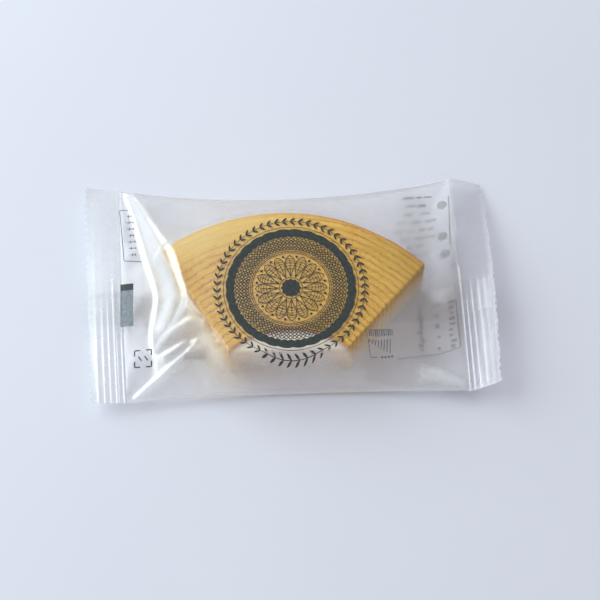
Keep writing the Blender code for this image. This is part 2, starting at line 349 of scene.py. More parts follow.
# Taper is the share of its width that a seal loses towards its cut end. Each rib is a small step,
# steep towards the lamp: how far out it lies, its height, and y where it begins and is full.
LEFT_SEAL = {
    "outwards": -1,                  # along X
    "line": (-62.35 * MM, -64.25 * MM, -65.65 * MM),
    "rim": (4.5 * MM, 6.0 * MM, 4.5 * MM),
    "curl": (1.5 * MM, -1.0 * MM, 3.0 * MM),
    "taper": 0.0,
    "ribs": (
        (0.7, 0.30, -10, -30), (2.4, 0.22, -4, -26), (3.4, 0.30, 6, -2), (5.6, 0.20, 0, -20),
        (7.9, 0.22, -2, -24), (10.4, 0.34, -6, -28),
    ),
}
RIGHT_SEAL = {
    "outwards": 1,
    "line": (66.45 * MM, 65.35 * MM, 64.35 * MM),
    "rim": (5.5 * MM, 8.0 * MM, 6.0 * MM),
    "curl": (7.0 * MM, 2.5 * MM, -4.5 * MM),
    "taper": 0.03,
    "ribs": (
        (0.5, 0.20, 9, 3), (0.9, 0.11, 10, 24), (2.3, 0.17, 2, -22), (4.4, 0.20, 5, -24),
        (7.1, 0.11, 4, -12), (9.6, 0.05, 8, -4),
    ),
}
SEAL_LENGTH = 13.6 * MM
CURL_POWER = 1.4
FRONT_END, BACK_END = -45.0 * MM, 45.0 * MM
FRONT_DRAWN_IN, BACK_DRAWN_IN, DRAWN_IN_POWER = 2.6 * MM, 6.4 * MM, 0.75
FRONT_DIP, BACK_DIP = 3.0 * MM, 1.5 * MM
EDGE_FOLD_RADIUS = 1.8 * MM
HALF_GAP = 0.06 * MM                 # between the outside of a seal and its middle

RIB_RISE, RIB_FALL = 0.55, 1.6       # mm from a rib's foot to its crest, and on to its other foot
RIB_STEPS = (-0.55, -0.4, -0.25, -0.1, 0.0, 0.25, 0.6, 1.1, 1.6)    # mm from a rib's crest
FIRST_STEP = 0.05                    # mm, the least that a seal's first column lies out
FAINTEST_RIB = 0.08
TOOTH_PITCH, TOOTH_DEPTH = 3.0 * MM, 1.0 * MM

TOP_ROWS, UNDER_ROWS, FIN_ROWS = 130, 18, 6
BODY_COLUMNS = ((0.0, 0), (0.26, 84), (0.85, 48), (1.0, 24))    # share of the length, columns
ROW_CROWDING, CROWDED_FROM = 0.25, 0.08     # how much, and in full from this share of the length
CLOSED_UP_TO = 0.01                  # share of the length over which the films part at a seal

# Folds pinched into the taut film. Each is a narrow flat facet below its crest, on the right of
# the way that the crest runs. Points of a crest are x, y, z and the facet's width there, in mm.
FACET_SLOPE = (0.44, 0.047)          # rise along X and along Y, alike for all the facets
SEAL_FOLD = (
    (-62.4, 42.7, 4.9, 1.5), (-60.2, 36.8, 5.5, 2.0), (-57.1, 26.0, 6.3, 2.0),
    (-54.3, 14.3, 7.1, 2.4), (-50.9, 3.6, 7.8, 2.3), (-49.8, -4.1, 7.8, 1.9),
    (-50.6, -10.5, 7.5, 2.3), (-52.3, -17.2, 7.3, 1.4), (-52.4, -22.0, 7.1, 1.1),
    (-51.4, -26.7, 7.0, 1.2),
)
CORNER_FOLD = (
    (-60.0, 41.7, 7.0, 2.0), (-55.7, 34.3, 11.6, 2.3), (-51.5, 24.2, 17.0, 2.3),
    (-46.8, 14.3, 22.0, 2.4), (-44.0, 10.7, 23.9, 2.8), (-41.4, 4.2, 24.6, 3.2),
    (-40.2, -1.3, 24.4, 3.0), (-38.2, -7.6, 23.8, 2.6), (-37.6, -13.7, 22.4, 3.6),
    (-38.2, -17.4, 20.4, 4.4),
)
BRANCH_FOLD = (
    (-51.6, -25.5, 7.8, 1.4), (-49.3, -21.4, 11.2, 2.2), (-44.9, -18.6, 14.9, 2.6),
    (-41.6, -17.6, 17.5, 2.6), (-38.2, -17.4, 20.4, 2.2), (-36.2, -18.6, 20.9, 1.0),
    (-33.4, -19.9, 21.0, 0.8),
)
SHORT_FOLD = (
    (-51.0, -27.1, 7.1, 1.1), (-45.9, -24.9, 9.4, 2.2), (-39.5, -22.7, 12.4, 2.2),
    (-34.5, -22.2, 14.8, 1.2),
)
LONG_FOLD = (
    (-60.4, -42.3, 3.9, 1.0), (-52.6, -36.2, 5.4, 1.2), (-43.0, -28.5, 8.4, 1.4),
    (-39.8, -25.7, 10.0, 1.4), (-37.2, -23.5, 12.0, 1.3), (-35.4, -22.9, 13.4, 0.8),
)
RIGHT_FOLD = ((49.9, -38.6, 8.8, 1.2), (57.2, -41.0, 7.6, 1.8), (65.6, -44.0, 6.2, 1.4))
FOLDS = (SEAL_FOLD, CORNER_FOLD, BRANCH_FOLD, SHORT_FOLD, LONG_FOLD, RIGHT_FOLD)
FOLD_TOP = 24.4 * MM                 # the corner fold stands a little over the slice
# How far the film's outline stands off the slice: shares of its angles, and metres of radius.
ARC_STEPS, ARC_OVERHANG, ARC_ROOM = 60, 0.009, 0.5 * MM
CORNER_OVERHANG, CORNER_ROOM = 0.018, 0.4 * MM
RIM_KNOTS, END_KNOTS = 70, 46
CREST_KNOT_GAP, TOP_EDGE_KNOT_GAP = 0.8 * MM, 1.2 * MM
LANDING, LANDING_GAP, LANDING_REACH = 4.0 * MM, 3.4 * MM, 60 * MM    # knots where the film lies flat
# One short pinch on top, over the slice's inner corner: its height and half width in mm.
PINCH = ((-27.6, -31.9), (-25.8, -33.6), (-23.6, -35.4))
PINCH_HEIGHT, PINCH_WIDTH = 0.6, 0.9
SMOOTHING_PASSES = 3
WRINKLE, WRINKLES_FROM, FINE_WRINKLE = (8 * MM, 0.25 * MM), 4 * MM, (2.5 * MM, 0.02 * MM)
SIDE_FADE, END_FADE = 0.05, 8        # share of the half width, and columns, without wrinkles


def through_three(values, across):
    """A smooth curve through values at the front, middle and back, across from -1 to 1."""
    front, middle, back = values
    return middle + (back - front) / 2 * across + ((front + back) / 2 - middle) * across**2


def rim_height(share, across):
    left = through_three(LEFT_SEAL["rim"], across)
    right = through_three(RIGHT_SEAL["rim"], across)
    dip = FRONT_DIP + (BACK_DIP - FRONT_DIP) * (across + 1) / 2
    return left + (right - left) * share - dip * np.sin(math.pi * share)


def edge_y(share, across):
    """y between the front and the back edge, which are drawn in between the seals."""
    drawn_in = np.maximum(np.sin(math.pi * share), 0) ** DRAWN_IN_POWER
    front = FRONT_END + FRONT_DRAWN_IN * drawn_in
    back = BACK_END - BACK_DRAWN_IN * drawn_in
    return front + (back - front) * (across + 1) / 2


def body_plan(share, across):
    left = through_three(LEFT_SEAL["line"], across)
    right = through_three(RIGHT_SEAL["line"], across)
    return np.stack([left + (right - left) * share, edge_y(share, across)], -1)


def spaced(path, gap):
    """Points about gap apart along a path of straight runs."""
    path = np.array(path, float)
    runs = np.linalg.norm(np.diff(path[:, :2], axis=0), axis=1)
    reach = np.concatenate([[0], np.cumsum(runs)])
    steps = np.linspace(0, reach[-1], max(2, round(reach[-1] / gap) + 1))
    return np.stack([np.interp(steps, reach, path[:, axis]) for axis in range(path.shape[1])], 1)


def rounded(path):
    """A path with its corners cut twice, so that it bends smoothly."""
    path = np.array(path)
    for _ in range(2):
        cuts = [path[:-1] * 0.75 + path[1:] * 0.25, path[:-1] * 0.25 + path[1:] * 0.75]
        cuts = np.stack(cuts, 1).reshape(-1, path.shape[1])
        path = np.vstack([path[:1], cuts, path[-1:]])
    return path


def crest_and_foot(fold):
    """The two borders of a fold's facet, in metres."""
    crest = spaced(rounded(fold) * MM, CREST_KNOT_GAP)
    ahead = np.gradient(crest[:, :2], axis=0)
    ahead /= np.linalg.norm(ahead, axis=1)[:, None]
    aside = np.stack([ahead[:, 1], -ahead[:, 0]], 1) * crest[:, 3:]
    return crest[:, :3], crest[:, :3] + np.column_stack([aside, aside @ FACET_SLOPE])


def nearest_on(plan, path):
    """How far each point lies from a path in plan, and how far along the path, from 0 to 1."""
    path = np.array(path)[:, :2]
    start, run = path[:-1], np.diff(path, axis=0)
    length = np.linalg.norm(run, axis=1)
    reach = np.concatenate([[0], np.cumsum(length)])
    offset = plan[:, None] - start
    share = np.clip((offset * run).sum(2) / (run * run).sum(1), 0, 1)
    gap = np.linalg.norm(offset - share[..., None] * run, axis=2)
    nearest = gap.argmin(1)
    rows = np.arange(len(plan))
    return gap[rows, nearest], (reach[nearest] + share[rows, nearest] * length[nearest]) / reach[-1]


def outline_of_slice():
    """The convex outline over which the film is drawn, from the right cut anticlockwise."""
    steps = np.linspace(1 + ARC_OVERHANG, -ARC_OVERHANG, ARC_STEPS)
    arc_points = on_arc(OUTER_CENTRE, OUTER_RADIUS + ARC_ROOM, OUTER_ANGLES, steps)
    ends = np.array([-CORNER_OVERHANG, 1 + CORNER_OVERHANG])
    corners = on_arc(INNER_CENTRE, INNER_RADIUS - CORNER_ROOM, INNER_ANGLES, ends)
    return np.concatenate([arc_points, corners, arc_points[:1]])


def outside(plan, outline):
    """How far each point lies outside the outline, and 0 inside it."""
    run = np.diff(outline, axis=0)
    offset = plan[:, None] - outline[:-1]
    within = (run[:, 0] * offset[..., 1] - run[:, 1] * offset[..., 0] >= 0).all(1)
    return np.where(within, 0, nearest_on(plan, outline)[0])


def taut_film(outline):
    """The film's facets between its rim, the folds and the top edge of the slice."""
    sides = [(np.linspace(0, 1, RIM_KNOTS), across) for across in (-1.0, 1.0)]
    ends = [(share, np.linspace(-1, 1, END_KNOTS)) for share in (0.0, 1.0)]
    rim = [np.column_stack([body_plan(*at), rim_height(*at)]) for at in sides + ends]
    top = spaced(outline, TOP_EDGE_KNOT_GAP)
    steps = np.arange(-LANDING_REACH, LANDING_REACH, LANDING)
    landing = np.stack(np.meshgrid(steps, steps), -1).reshape(-1, 2)
    landing = landing[outside(landing, outline) == 0]
    clear_of_fold = nearest_on(landing, np.array(CORNER_FOLD) * MM)[0] > LANDING_GAP
    top = np.concatenate([top, landing[clear_of_fold]])
    knots = rim + [np.column_stack([top, np.full(len(top), FILM_TOP)])]
    knots += [border for fold in FOLDS for border in crest_and_foot(fold)]
    knots = np.concatenate(knots)
    on_slice = outside(knots[:, :2], outline) == 0
    knots[on_slice, 2] = np.maximum(knots[on_slice, 2], FILM_TOP)
    kept, _, faces, ids = delaunay_2d_cdt([Vector(p[:2]) for p in knots], [], [], 0, 1e-5)[:4]
    placed = [Vector((p.x, p.y, knots[i[0], 2])) for p, i in zip(kept, ids)]
    return BVHTree.FromPolygons(placed, faces)


def heights_on(surface, plan, missing):
    """The surface's height over each point, or the missing height off its edge."""
    above, down = 0.1, Vector((0, 0, -1))
    found = np.array(missing, float)
    for index, (x, y) in enumerate(plan):
        hit = surface.ray_cast(Vector((x, y, above)), down)[0]
        if hit:
            found[index] = hit.z
    return found


def crimp_at(seal, out, y):
    """The narrow ribs that the jaws press into a seal, each fading in along Y."""
    height = np.zeros(len(y))
    for place, rise, faint_from, full_from in seal["ribs"]:
        pressed = np.clip((y / MM - faint_from) / (full_from - faint_from), 0, 1)
        pressed = FAINTEST_RIB + (1 - FAINTEST_RIB) * pressed * pressed * (3 - 2 * pressed)
        past_crest = (out / MM - place) * seal["outwards"]
        reach = RIB_FALL if past_crest > 0 else RIB_RISE
        share = max(0, 1 - abs(past_crest) / reach)
        height += rise * MM * pressed * share * share * (3 - 2 * share)
    return height


def row_table():
    """Each row of the sheet: which part of the pack it is in, and where across the pack."""
    rows = [("fin_low", 1 - step / FIN_ROWS) for step in range(FIN_ROWS + 1)]
    rows += [("under", -step / UNDER_ROWS) for step in range(1, UNDER_ROWS)]
    rows += [("top", -1 + 2 * step / TOP_ROWS) for step in range(TOP_ROWS + 1)]
    rows += [("under", 1 - step / UNDER_ROWS) for step in range(1, UNDER_ROWS + 1)]
    rows += [("fin_high", step / FIN_ROWS) for step in range(FIN_ROWS + 1)]
    return rows


ROWS = row_table()
KINDS = np.array([kind for kind, _ in ROWS])
PLACES = np.array([place for _, place in ROWS])
FIN_WIDTH = 13.5 * MM
FIN_LOW, FIN_HIGH = 0.2 * MM, 0.1 * MM       # how far each leaf of the fin lies under the pack
WHOLE_WIDTH = BACK_END - FRONT_END
IS_FIN = np.char.startswith(KINDS, "fin")
IS_TOP = KINDS == "top"
LAYER_GAP = np.select(
    [IS_TOP & (np.abs(PLACES) < 1), IS_TOP, KINDS == "under", KINDS == "fin_low"],
    [HALF_GAP, 0, -HALF_GAP, -HALF_GAP - FIN_LOW],
    -HALF_GAP - FIN_HIGH,
)


def across_at(share):
    """Where each row lies across the pack, from -1 to 1, at one share of its length."""
    crowding = ROW_CROWDING * min(1, min(share, 1 - share) / CROWDED_FROM)
    crowded = (1 - crowding) * PLACES + crowding * np.sin(math.pi / 2 * PLACES)
    fin = -PLACES * FIN_WIDTH / (WHOLE_WIDTH / 2)
    return np.where(IS_FIN, fin, crowded)


def seal_steps(seal):
    """How far out each column of a seal lies, with several columns over each rib."""
    steps = {round(rib[0] + step * seal["outwards"], 2) for rib in seal["ribs"] for step in RIB_STEPS}
    return [step * MM for step in sorted(steps) if step > FIRST_STEP] + [SEAL_LENGTH]


def seal_station(seal, out):
    """Every row of the sheet at one station of a seal, with the teeth where it is cut."""
    outwards, across = seal["outwards"], across_at(0)
    y = edge_y(0.0, across) * (1 - seal["taper"] * out / SEAL_LENGTH)
    rise = through_three(seal["curl"], across) * (out / SEAL_LENGTH) ** CURL_POWER
    x = through_three(seal["line"], across) + outwards * np.sqrt(np.maximum(out**2 - rise**2, 0))
    z = through_three(seal["rim"], across) + rise + LAYER_GAP + crimp_at(seal, out, y)
    if out == SEAL_LENGTH:
        x = x - outwards * TOOTH_DEPTH * np.abs((y / TOOTH_PITCH) % 1 * 2 - 1)
    return np.column_stack([x, y, z])


def film_stations(outline, facets):
    """Every station from the cut end of the left seal to that of the right."""
    stations = [seal_station(LEFT_SEAL, out) for out in reversed(seal_steps(LEFT_SEAL))]
    shares = [0.0]
    for (start, _), (end, count) in zip(BODY_COLUMNS, BODY_COLUMNS[1:]):
        shares += list(np.linspace(start, end, count + 1)[1:])
    stations += [body_station(share, outline, facets) for share in shares]
    stations += [seal_station(RIGHT_SEAL, out) for out in seal_steps(RIGHT_SEAL)]
    return np.array(stations)


def body_station(share, outline, facets):
    """Every row of the sheet at one station between the seals."""
    across = across_at(share)
    plan = body_plan(share, across)
    rim = rim_height(share, across)
    half_width = (edge_y(share, 1.0) - edge_y(share, -1.0)) / 2
    length = RIGHT_SEAL["line"][1] - LEFT_SEAL["line"][1]
    from_edge = (1 - np.abs(across)) * half_width
    from_rim = np.minimum(from_edge, min(share, 1 - share) * length)
    from_slice = outside(plan, outline)
    fall = from_slice / np.maximum(from_slice + from_rim, 1e-9)

    taper = math.sqrt(max(math.sin(math.pi * share), 0))
    fold_radius = EDGE_FOLD_RADIUS * taper
    rounding = np.clip(from_edge / max(fold_radius, 1e-9), 0, 1)
    bulge = fold_radius * np.sqrt(1 - (1 - rounding) ** 2)
    inwards = min(1, min(share, 1 - share) / CLOSED_UP_TO)

    taut = heights_on(facets, plan, rim)
    lift = np.clip((FILM_TOP - taut) / (FILM_TOP - rim), 0, 1)
    upper = taut + bulge * lift + HALF_GAP * (from_edge > 0)
    upper = np.minimum(upper, np.where(from_slice > 0, FOLD_TOP, np.maximum(taut, FILM_TOP)))
    lower = FILM_UNDERSIDE + np.maximum(rim - bulge - HALF_GAP - FILM_UNDERSIDE, 0) * fall**2
    middle_rim = rim - HALF_GAP
    lower = np.where(from_edge > 0, lower * inwards + middle_rim * (1 - inwards), rim)
    drop = np.select([KINDS == "fin_low", KINDS == "fin_high"], [-FIN_LOW, -FIN_HIGH], 0)
    z = np.where(IS_TOP, upper, lower + drop)
    return np.column_stack([plan, z])


def smoothed(heights, passes):
    """Heights of the upper film eased over their neighbours, with its rim left as it is."""
    for _ in range(passes):
        eased = heights.copy()
        eased[1:-1, 1:-1] = heights[1:-1, 1:-1] / 2 + (
            heights[:-2, 1:-1] + heights[2:, 1:-1] + heights[1:-1, :-2] + heights[1:-1, 2:]) / 8
        heights = eased
    return heights


outline = outline_of_slice()
facets = taut_film(outline)
stations = film_stations(outline, facets)
body = slice(len(seal_steps(LEFT_SEAL)), len(stations) - len(seal_steps(RIGHT_SEAL)))
top_rows = np.flatnonzero(IS_TOP)
upper = stations[body][:, top_rows]
upper[..., 2] = smoothed(upper[..., 2], SMOOTHING_PASSES)
plan = upper[..., :2].reshape(-1, 2)
gap = nearest_on(plan, np.array(PINCH) * MM)[0] / (PINCH_WIDTH * MM)
pinch = PINCH_HEIGHT * MM * np.exp(-(gap**2))
free = np.clip(outside(plan, outline) / WRINKLES_FROM, 0, 1)
spread = np.column_stack([plan, np.zeros(len(plan))])
wrinkle = grained(spread, *WRINKLE) * free + grained(spread, *FINE_WRINKLE)
from_side = np.minimum(1, (1 - np.abs(PLACES[top_rows])) / SIDE_FADE)
from_end = np.arange(len(upper))
from_end = np.minimum(1, np.minimum(from_end, from_end[::-1]) / END_FADE)
upper[..., 2] += (pinch + wrinkle).reshape(upper.shape[:2]) * np.outer(from_end, from_side)
stations[body.start:body.stop, top_rows] = upper

# How much of the light the frosted film scatters, and how glossy it is. It is milkiest beside the
# cuts of the slice and over its hollow, along its creases and along its turned and cut edges.
# From left to right it clings more and more to the slice, and is duller there. Creases and ribs
# are glossiest. Pairs are for the left and the right of the pack.
HAZE_ON_SLICE, HAZE_OVER_HOLLOW, HAZE_FIN = 0.02, 0.58, 0.04
HAZE_FREE, HAZE_SEALED = (0.07, 0.10), (0.24, 0.04)
HAZE_OF_FOLDS = (0.25, 0.26, 0.60, 0.35, 0.35, 0.40)      # in the order of FOLDS
HAZE_BESIDE_CUTS, HAZE_AT_CUT, HAZE_UNDER = (0.90, 0.34), 0.10, 0.25
HAZE_LONG_EDGE, HAZE_CUT_EDGE, EDGE_WIDTH = 0.95, 0.40, 0.40 * MM
GLOSS_FREE, GLOSS_IN_FRONT, GLOSS_ON_SLICE, GLOSS_CLINGING = 0.32, 0.85, 0.42, 0.06
GLOSS_CREASED, CREASE_WIDTH = 1.0, 1.4 * MM
GLOSS_SEALED, GLOSS_RIBBED, TALL_RIB = (0.20, 0.0), (0.35, 0.40), 0.3 * MM
GLOSS_UNDER, GLOSS_FIN = 0.10, 0.0
CLINGS_FROM, CLINGS_WHOLLY = -34 * MM, 12 * MM       # along X
FREE_FROM, HOLLOW_FADE, FRONT_SHARE = 3.5 * MM, 2 * MM, 0.8
LEFT_CUT = ((-48.2, 9.2), (-38.5, -7.0), (-22.9, -33.0))
RIGHT_CUT = ((51.3, 0.0), (20.9, -33.0))
# The last width is how far the painted light bounced off the slice reaches into the film.
DULL_WIDTH, DULLED, BESIDE_CUT, PAINTED_BOUNCE_WIDTH = 1.4 * MM, 0.9, 5.0 * MM, 8.0 * MM
DENSER_FROM, DENSEST_FROM = 8 * MM, 62 * MM          # along X
CLEAR_FROM, CLEAR_FADE = 30 * MM, 20 * MM            # along Y
# Milky patches: points x, y in mm, then the half width in mm and the haze. The last one joins
# the corner fold to its branch, and the one before it lies in the hollow below the branch.
PATCHES = (
    (((-61.0, 37.0), (-57.2, 29.5), (-53.1, 20.7), (-50.4, 9.5), (-46.8, 0.1), (-45.2, -7.3),
      (-47.5, -12.7), (-50.0, -16.5)), 3.0, 0.90),
    (((49.5, -37.9), (55.1, -38.9), (60.0, -41.1), (63.1, -43.0)), 2.2, 0.78),
    (((-44.2, -21.6), (-40.3, -20.4), (-35.2, -21.2)), 1.6, 0.60),
    (((-39.6, -11.5), (-40.7, -14.2), (-42.8, -17.5), (-45.5, -20.2), (-48.2, -22.5)), 1.7, 0.90),
)

plan = stations[..., :2].reshape(-1, 2)
x, y = stations[..., 0], stations[..., 1]
clinging = np.clip((x - CLINGS_FROM) / (CLINGS_WHOLLY - CLINGS_FROM), 0, 1)
over_hollow = INNER_RADIUS - np.linalg.norm(stations[..., :2] - INNER_CENTRE, axis=2)
over_hollow = np.clip(over_hollow / HOLLOW_FADE, 0, 1)
free = np.clip(outside(plan, outline) / FREE_FROM, 0, 1).reshape(stations.shape[:2])


def left_to_right(pair):
    return pair[0] + (pair[1] - pair[0]) * clinging


def near(path, width, power=2):
    """1 along a path in plan, and fading to 0 beside it."""
    away = nearest_on(plan, path)[0].reshape(stations.shape[:2])
    return np.exp(-((away / width) ** power))


haze = HAZE_ON_SLICE * (1 - clinging)
haze = haze + over_hollow * (HAZE_OVER_HOLLOW - haze)
haze = haze + free * (left_to_right(HAZE_FREE) - haze)
for border, most in zip((LEFT_CUT, RIGHT_CUT), HAZE_BESIDE_CUTS):
    haze = np.maximum(haze, most * near(np.array(border) * MM, BESIDE_CUT) * free)
cut = np.array(LEFT_CUT) * MM
haze = np.maximum(haze, HAZE_AT_CUT * near(cut[1:], DULL_WIDTH))
haze[:, KINDS == "under"] *= 1 - (1 - HAZE_UNDER) * clinging[:, KINDS == "under"]
gloss = GLOSS_ON_SLICE - (GLOSS_ON_SLICE - GLOSS_CLINGING) * clinging
in_front = np.clip(y / (FRONT_SHARE * FRONT_END), 0, 1) * clinging
gloss_free = GLOSS_FREE + (GLOSS_IN_FRONT - GLOSS_FREE) * in_front
gloss = gloss + (gloss_free - gloss) * np.maximum(free, over_hollow)
gloss = gloss * (1 - DULLED * near(cut[1:], DULL_WIDTH))
patches = [near(np.array(path) * MM, width * MM) for path, width, _ in PATCHES]
for (_, _, most), patch in zip(PATCHES[:-1], patches):
    haze = np.maximum(haze, most * patch)
for fold, most in zip(FOLDS, HAZE_OF_FOLDS):
    crease = near(np.mean(crest_and_foot(fold), axis=0), CREASE_WIDTH, power=4)
    haze = haze + (most - haze) * crease
    gloss = np.maximum(gloss, GLOSS_CREASED * crease)
haze = np.maximum(haze, PATCHES[-1][-1] * patches[-1])
# Painted light: beside the slice's inner edge and its left cut, the milky share is tinted warm,
# standing in for light bounced off the cake.
inner_edge = on_arc(INNER_CENTRE, INNER_RADIUS, INNER_ANGLES, np.linspace(0, 1, 30))
warm = np.maximum(near(inner_edge, PAINTED_BOUNCE_WIDTH) * over_hollow, near(cut, PAINTED_BOUNCE_WIDTH))
warm = warm * (1 - np.maximum(patches[0], patches[-1]))
gloss[:, ~IS_TOP] = GLOSS_UNDER
sealed = left_to_right(HAZE_SEALED)
for seal, columns, base, most in zip(
        (LEFT_SEAL, RIGHT_SEAL), (range(body.start - 1, -1, -1), range(body.stop, len(stations))),
        GLOSS_SEALED, GLOSS_RIBBED):
    for out, column in zip(seal_steps(seal), columns):
        ribbed = crimp_at(seal, out, y[column]) / TALL_RIB
        haze[column] = sealed[column]
        gloss[column] = base + (most - base) * np.clip(ribbed, 0, 1)
from_side = np.minimum(y - y.min(1)[:, None], y.max(1)[:, None] - y)
from_cut = np.minimum(x - x[0], x[-1] - x)
long_edge = np.full(len(stations), HAZE_CUT_EDGE)
long_edge[body] = HAZE_LONG_EDGE
for distance, most in ((from_side, long_edge[:, None]), (from_cut, HAZE_CUT_EDGE)):
    haze = np.maximum(haze, most * np.exp(-((distance / EDGE_WIDTH) ** 2)))
haze = np.where(IS_FIN, HAZE_FIN, haze)
gloss = np.where(IS_FIN, GLOSS_FIN, gloss)
dense = np.clip((x - DENSER_FROM) / (DENSEST_FROM - DENSER_FROM), 0, 1)
dense[body] *= np.clip((CLEAR_FROM - y[body]) / CLEAR_FADE, 0, 1)
dense = np.where(IS_FIN, 0, dense)

# The sheet itself: a grid of as many steps, bent over the stations and given its thickness.
CREASE_ANGLE = math.radians(55)      # creases sharper than this stay sharp

deselect()
bpy.ops.mesh.primitive_grid_add(
    x_subdivisions=len(stations) - 1, y_subdivisions=len(ROWS) - 1, size=2)
film = bpy.context.object
film.name = "film"
grid = get_points(film.data)
column = np.rint((grid[:, 0] + 1) / 2 * (len(stations) - 1)).astype(int)
row = np.rint((grid[:, 1] + 1) / 2 * (len(ROWS) - 1)).astype(int)
at = column, row
set_points(film.data, stations[at])
keep(film.data, haze=haze[at], gloss=gloss[at], warm=warm[at], dense=dense[at])
applied(film, "SOLIDIFY", thickness=FILM, offset=-1)
bpy.ops.object.shade_smooth_by_angle(angle=CREASE_ANGLE)

# The film's material: rough clear plastic with a glossy coat, and a milky share mixed in.
FROST_ROUGHNESS = 0.22
FROST_TINT = (1.0, 1.0, 1.0, 1)
FROST_TINT_DEEP = (0.985, 0.985, 0.985, 1)
SCATTER_COLOUR = (0.965, 0.985, 1.0, 1)
# Painted light: a warm tint for the milky share beside the slice, standing in for light bounced off
# the cake.
PAINTED_BOUNCE_COLOUR = (1.0, 0.95, 0.78, 1)   # beside the slice
SCATTER_ONWARDS = 0.28               # share of the scattered light that leaves on the far side
SHADE_OF_FILM = (0.99, 0.99, 0.99, 1)
SHADE_OF_DENSE_FILM = (0.90, 0.895, 0.905, 1)

material, flow, shader = new_material(
    "frosted_film", Roughness=FROST_ROUGHNESS, Transmission_Weight=0.98, IOR=1.25,
    Coat_Roughness=0.24, Coat_IOR=2.4)
grain = flow.noise(1500.0, 3.0)
clouded = flow.noise(120.0, 2.0).between(0.3, 0.7)
linked(flow, clouded.mix(FROST_TINT, FROST_TINT_DEEP), shader, "Base Color")
linked(flow, FROST_ROUGHNESS - 0.03 + grain * 0.06, shader, "Roughness")
bump = flow.node("Bump", None, {"Height": grain, "Strength": 0.06, "Distance": 0.1 * MM})
linked(flow, bump, shader, "Normal")
linked(flow, flow.kept("gloss"), shader, "Coat Weight")
scattered = flow.kept("haze") * (0.85 + clouded * 0.3)
milky = []
for scatter in (SCATTER_COLOUR, PAINTED_BOUNCE_COLOUR):
    matte = flow.node("BsdfDiffuse", None, {"Color": scatter})
    glowing = flow.node("BsdfTranslucent", None, {"Color": scatter})
    milky.append(flow.node("MixShader", None, {0: SCATTER_ONWARDS, 1: matte, 2: glowing}))
# Beside the slice the milky share takes the warm colour of painted light bounced off the cake.
milky = flow.node("MixShader", None, {0: flow.kept("warm"), 1: milky[0], 2: milky[1]})
clear = Flow(flow.tree, shader.outputs[0])
surface = flow.node("MixShader", None, {0: scattered, 1: clear, 2: milky})
# Light from the lamp and from the room goes straight through to the slice and the table, but
# for what the milky share and the denser film keep.
by_density = {0: flow.kept("dense")}
for index, shade in ((1, SHADE_OF_FILM), (2, SHADE_OF_DENSE_FILM)):
    by_density[index] = flow.node("BsdfTransparent", None, {"Color": shade})
see_through = {0: scattered, 1: flow.node("MixShader", None, by_density), 2: milky}
see_through = flow.node("MixShader", None, see_through)
for ray in (2, 1):                   # Is Diffuse Ray, Is Shadow Ray
    by_ray = {0: flow.node("LightPath", output=ray), 1: surface, 2: see_through}
    surface = flow.node("MixShader", None, by_ray)
linked(flow, surface, flow.tree.nodes["Material Output"], "Surface")
wear(film, material)
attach(film, "root")
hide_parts("pack")


# The round ornament. One dark green-black ink is printed on the outside of the film in thin solid
# lines and fields. Over the slice it makes a wreath of leaves, a scalloped band, a braid and a
# rosette, one inside another.
INK = 0.015 * MM
INK_CLEARANCE = 0.02 * MM
INK_COLOUR = (0.020, 0.030, 0.026, 1)
SLATE_COLOUR = (0.19, 0.225, 0.245, 1)
FAINT_COLOUR = (0.16, 0.18, 0.19, 1)
PRINT_LIFT = 40 * MM                 # the artwork is drawn flat up here, then laid on the film

ORNAMENT_CENTRE = (0.5, -8.1)        # mm, as are all the sizes of the artwork
WREATH_RADIUS, WREATH_LEAVES, WREATH_LINE = 27.7, 58, 0.2
LEAF_LENGTH, LEAF_WIDTH, LEAF_TILT, LEAF_OFFSET = 2.5, 0.75, math.radians(38), 0.78
BAND_RADII, BAND_SCALLOPS, BAND_LINE_RADIUS = (21.3, 24.3), 28, 25.3
INNER_SCALLOP, OUTER_SCALLOP = 0.25, 0.45
BRAID_RADII, BRAID_WAVES, BRAID_SWING, BRAID_LINE = (20.2, 18.9, 17.6, 16.3), 40, 0.62, 0.30
BRAID_RINGS, BRAID_RING_LINE = (15.1, 14.5), 0.24
ROSETTE_PETALS, ROSETTE_RADII, PETAL_FULLNESS = 16, (4.6, 13.4), 0.92
PETAL_LINE, PETAL_MIDDLE_LINE, VEIN_LINE = 0.28, 0.22, 0.2
VEINS, VEIN_BOW = (0.35, 0.5, 0.62, 0.73, 0.83), 0.03        # shares of a petal's length
HUB_RADIUS, HUB_LOBES, HUB_LOBE = 3.5, 12, 0.25
HUB_RING, HUB_LINE = 4.3, 0.25
DOT_PLACE, DOT_RADIUS = 13.0, 0.5            # between the petals' tips


def strip(path, width, closed=False, cuts=1):
    """A line of ink: a narrow grid bent along a path, width and path in mm."""
    path = np.array(path, float)
    width = np.broadcast_to(width, len(path))
    ahead = np.roll(path, -1, 0) - np.roll(path, 1, 0)
    if not closed:
        ahead[0], ahead[-1] = path[1] - path[0], path[-1] - path[-2]
    ahead /= np.linalg.norm(ahead, axis=1)[:, None]
    aside = np.stack([-ahead[:, 1], ahead[:, 0]], 1) * width[:, None] / 2
    if closed:
        path, aside = np.vstack([path, path[:1]]), np.vstack([aside, aside[:1]])
    steps = len(path) - 1
    deselect()
    bpy.ops.mesh.primitive_grid_add(x_subdivisions=steps, y_subdivisions=cuts, size=2)
    made = bpy.context.object
    grid = get_points(made.data)
    station = np.rint((grid[:, 0] + 1) / 2 * steps).astype(int)
    flat = path[station] + aside[station] * grid[:, 1:2]
    set_points(made.data, np.column_stack([flat * MM, np.full(len(flat), PRINT_LIFT)]))
    return made


